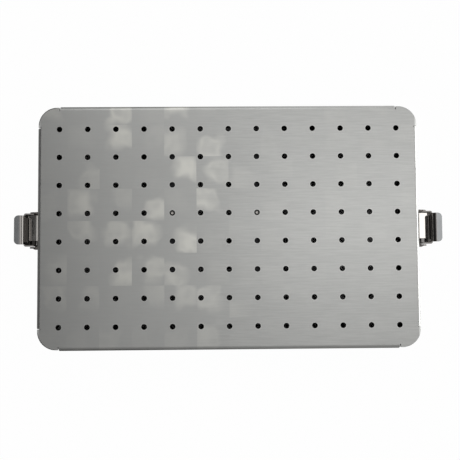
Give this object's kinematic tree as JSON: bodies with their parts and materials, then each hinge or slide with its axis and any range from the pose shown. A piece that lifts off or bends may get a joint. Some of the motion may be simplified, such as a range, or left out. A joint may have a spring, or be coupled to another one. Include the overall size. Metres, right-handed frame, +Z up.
{
  "type": "dental instrument cassette",
  "caption": "Flat perforated aluminium instrument cassette with a lift-off skirted lid, notched silicone rails and a snap-over latch on each short end.",
  "frame": {"origin": "centre of the footprint, on the surface that the feet stand on", "axes": "+X along the long side towards the right latch, +Y across towards the rear, +Z up through the lid"},
  "size_m": [0.2654, 0.152, 0.03],
  "materials": {
    "aluminium_tray": "brushed, anodised",
    "aluminium_lid": "fine brushed along X, anodised",
    "stainless_channel": "brushed",
    "stainless_latch": "polished, lightly scratched",
    "polished_keeper": "mirror polished stainless",
    "rivet_steel": "turned",
    "rivet_aluminium": "satin",
    "dark_silicone": "matt moulded silicone",
    "grey_silicone": "matt moulded silicone"
  },
  "bodies": {
    "tray": {"tray_pan": "aluminium_tray", "foot_front_left": "grey_silicone", "foot_front_right": "grey_silicone", "foot_rear_left": "grey_silicone", "foot_rear_right": "grey_silicone", "rail_channel_left": "stainless_channel", "rail_channel_right": "stainless_channel", "rail_comb_left": "dark_silicone", "rail_comb_right": "dark_silicone", "rail_rivets": "rivet_aluminium", "latch_bracket_left": "stainless_latch", "latch_bracket_right": "stainless_latch", "bracket_rivets_left": "rivet_steel", "bracket_rivets_right": "rivet_steel", "pivot_pin_left": "rivet_steel", "pivot_pin_right": "rivet_steel"},
    "lid": {"lid_pan": "aluminium_lid", "hold_down_frame": "stainless_channel", "hold_down_strip_left": "dark_silicone", "hold_down_strip_right": "dark_silicone", "hold_down_rivets": "rivet_steel", "lid_keeper_left": "polished_keeper", "lid_keeper_right": "polished_keeper", "keeper_rivets_left": "rivet_steel", "keeper_rivets_right": "rivet_steel"},
    "left_latch": {"latch_lever_left": "stainless_latch"},
    "right_latch": {"latch_lever_right": "stainless_latch"}
  },
  "joints": [
    {"name": "lid_lift", "type": "slide", "parent": "tray", "child": "lid", "axis": [0, 0, 1], "range_m": [0, 0.06]},
    {"name": "left_latch_swing", "type": "hinge", "parent": "tray", "child": "left_latch", "pos_m": [-0.1248, -0.0011, 0.0154], "axis": [0, -1, 0], "range_deg": [0, 120]},
    {"name": "right_latch_swing", "type": "hinge", "parent": "tray", "child": "right_latch", "pos_m": [0.1248, -0.0011, 0.0154], "axis": [0, 1, 0], "range_deg": [0, 120]}
  ]
}
